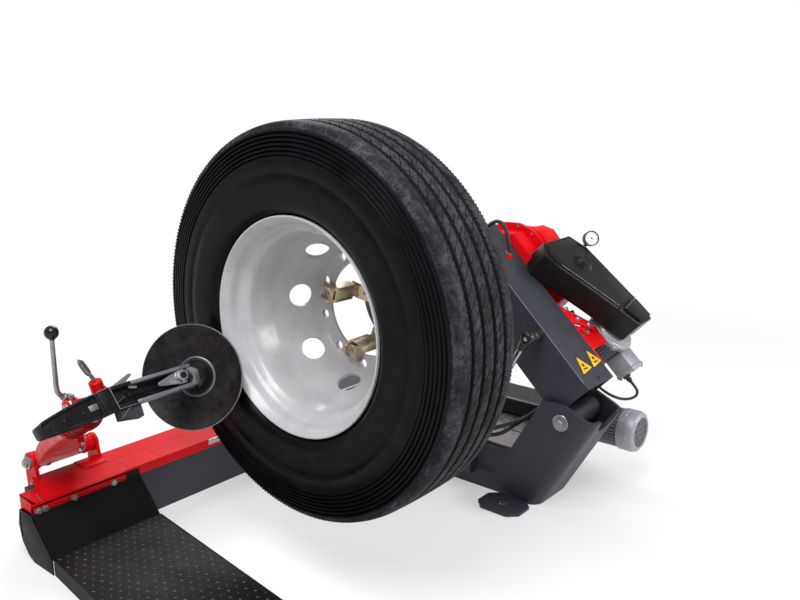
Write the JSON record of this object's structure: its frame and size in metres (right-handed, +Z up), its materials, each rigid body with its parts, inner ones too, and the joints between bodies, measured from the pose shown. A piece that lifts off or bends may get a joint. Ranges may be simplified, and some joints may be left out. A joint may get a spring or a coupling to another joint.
{
  "type": "truck tyre changer machine",
  "caption": "Floor-standing truck tyre changer: a tilting chuck arm holds a clamped truck wheel, and a sliding carriage carries a swing-up tool arm with a bead disc.",
  "frame": {"origin": "on the floor under the chuck axis, in the middle of the arm, on the underside of the base beam", "axes": "+X along the chuck axis from the operator's side to the gearbox, +Y from the arm's cradle to the carriage rail, +Z up"},
  "size_m": [1.8784, 1.453, 1.2594],
  "materials": {
    "grey_powder_coat": "textured dark blue-grey powder coat",
    "bright_steel": "machined bright steel",
    "zinc": "bright zinc plating",
    "black_steel": "black enamel, worn at the edges",
    "cast_aluminium": "light grey cast aluminium",
    "black_plastic": "moulded black plastic",
    "red_paint": "glossy red enamel",
    "brass": "plain brass and bronze",
    "dial_white": "white dial in a steel case",
    "hose_rubber": "black rubber",
    "jaw_casting": "yellow-passivated steel casting",
    "rim_paint": "light grey wheel paint",
    "tyre_rubber": "black tyre rubber"
  },
  "bodies": {
    "base": {"base_beam": "grey_powder_coat", "slide_plate": "bright_steel", "rail": "grey_powder_coat", "rail_strip_front": "bright_steel", "rail_strip_back": "bright_steel", "foot_plate_front": "grey_powder_coat", "foot_plate_rear": "grey_powder_coat", "foot_plate_rail": "grey_powder_coat", "foot_plate_corner": "grey_powder_coat", "cradle": "grey_powder_coat", "pivot_pin": "zinc", "lift_bracket": "grey_powder_coat", "travel_barrel": "black_steel", "pump_motor": "cast_aluminium", "pump_fan_cover": "cast_aluminium", "pump_block": "cast_aluminium", "oil_tank": "black_steel", "pump_bracket": "grey_powder_coat"},
    "chuck_arm": {"arm_box": "grey_powder_coat", "arm_hose": "hose_rubber", "motor_cable": "hose_rubber", "lift_pin": "black_plastic", "gearbox_housing": "red_paint", "gearbox_cover": "red_paint", "belt_cover": "black_plastic", "chuck_motor": "cast_aluminium", "motor_fan_cover": "cast_aluminium", "terminal_box": "cast_aluminium", "motor_bracket": "red_paint", "gauge_pipe": "brass", "pressure_gauge": "dial_white", "drive_belt": "hose_rubber"},
    "chuck": {"chuck_body": "grey_powder_coat", "spindle": "bright_steel", "worm_wheel": "brass", "rim": "rim_paint", "tyre": "tyre_rubber"},
    "jaw_1": {"jaw_1": "jaw_casting"},
    "jaw_2": {"jaw_2": "jaw_casting"},
    "jaw_3": {"jaw_3": "jaw_casting"},
    "jaw_4": {"jaw_4": "jaw_casting"},
    "worm": {"worm_shaft": "bright_steel", "worm_pulley": "cast_aluminium"},
    "motor_rotor": {"motor_pulley": "cast_aluminium"},
    "lift_barrel": {"lift_barrel": "black_steel"},
    "lift_rod": {"lift_rod": "zinc"},
    "carriage": {"carriage": "red_paint", "footplate": "black_steel", "tool_hinge_pin": "zinc", "travel_rod": "zinc"},
    "tool_arm": {"tool_arm": "red_paint"},
    "tool_head": {"tool_bar": "black_steel"},
    "bead_disc": {"bead_disc": "black_steel"},
    "ball_lever": {"ball_lever": "zinc"},
    "release_lever": {"release_lever": "zinc"}
  },
  "joints": [
    {"name": "arm_lift", "type": "hinge", "parent": "base", "child": "chuck_arm", "pos_m": [0, -0.374, 0.315], "axis": [1, 0, 0], "range_deg": [-20, 22]},
    {"name": "chuck_spin", "type": "hinge", "parent": "chuck_arm", "child": "chuck", "pos_m": [0, 0, 0.7214], "axis": [1, 0, 0], "continuous": true},
    {"name": "worm_spin", "type": "hinge", "parent": "chuck_arm", "child": "worm", "pos_m": [0.19, -0.1079, 0.6172], "axis": [0, -0.6947, 0.7193], "continuous": true},
    {"name": "motor_spin", "type": "hinge", "parent": "chuck_arm", "child": "motor_rotor", "pos_m": [0.285, -0.26975, 0.4609], "axis": [0, -0.6947, 0.7193], "continuous": true},
    {"name": "lift_barrel_swing", "type": "hinge", "parent": "base", "child": "lift_barrel", "pos_m": [-0.19, 0, 0.11], "axis": [1, 0, 0], "range_deg": [-8, 9]},
    {"name": "lift_rod_slide", "type": "slide", "parent": "lift_barrel", "child": "lift_rod", "axis": [0, -0.4977, 0.8673], "range_m": [-0.08, 0.09]},
    {"name": "carriage_travel", "type": "slide", "parent": "base", "child": "carriage", "axis": [1, 0, 0], "range_m": [-0.2, 0]},
    {"name": "tool_arm_swing", "type": "hinge", "parent": "carriage", "child": "tool_arm", "pos_m": [-1.16, 0.822, 0.227], "axis": [1, 0, 0], "range_deg": [-95, 0]},
    {"name": "tool_head_flip", "type": "hinge", "parent": "tool_arm", "child": "tool_head", "pos_m": [-1.335, 0.29, 0.552], "axis": [0, 0.8525, -0.5227], "range_deg": [0, 180]},
    {"name": "bead_disc_spin", "type": "hinge", "parent": "tool_head", "child": "bead_disc", "pos_m": [-1.0275, 0.3055, 0.5501], "axis": [-0.8387, -0.4751, 0.2664], "continuous": true},
    {"name": "ball_lever_tilt", "type": "hinge", "parent": "tool_arm", "child": "ball_lever", "pos_m": [-1.3, 0.484, 0.522], "axis": [0, 0.8525, -0.5227], "range_deg": [-20, 20]},
    {"name": "release_lever_tilt", "type": "hinge", "parent": "tool_arm", "child": "release_lever", "pos_m": [-1.216, 0.484, 0.54], "axis": [0, 0.8525, -0.5227], "range_deg": [0, 25]},
    {"name": "jaw_1_slide", "type": "slide", "parent": "chuck", "child": "jaw_1", "axis": [0, 0.9703, 0.2419], "range_m": [-0.03, 0]},
    {"name": "jaw_2_slide", "type": "slide", "parent": "chuck", "child": "jaw_2", "axis": [0, -0.2419, 0.9703], "range_m": [-0.03, 0]},
    {"name": "jaw_3_slide", "type": "slide", "parent": "chuck", "child": "jaw_3", "axis": [0, -0.9703, -0.2419], "range_m": [-0.03, 0]},
    {"name": "jaw_4_slide", "type": "slide", "parent": "chuck", "child": "jaw_4", "axis": [0, 0.2419, -0.9703], "range_m": [-0.03, 0]}
  ],
  "couplings": [
    {"joint": "worm_spin", "follows": "chuck_spin", "ratio": 20},
    {"joint": "motor_spin", "follows": "chuck_spin", "ratio": 36.25},
    {"joint": "lift_barrel_swing", "follows": "arm_lift", "ratio": 0.33},
    {"joint": "lift_rod_slide", "follows": "arm_lift", "m_per_rad": 0.218},
    {"joint": "jaw_2_slide", "follows": "jaw_1_slide", "ratio": 1},
    {"joint": "jaw_3_slide", "follows": "jaw_1_slide", "ratio": 1},
    {"joint": "jaw_4_slide", "follows": "jaw_1_slide", "ratio": 1}
  ]
}
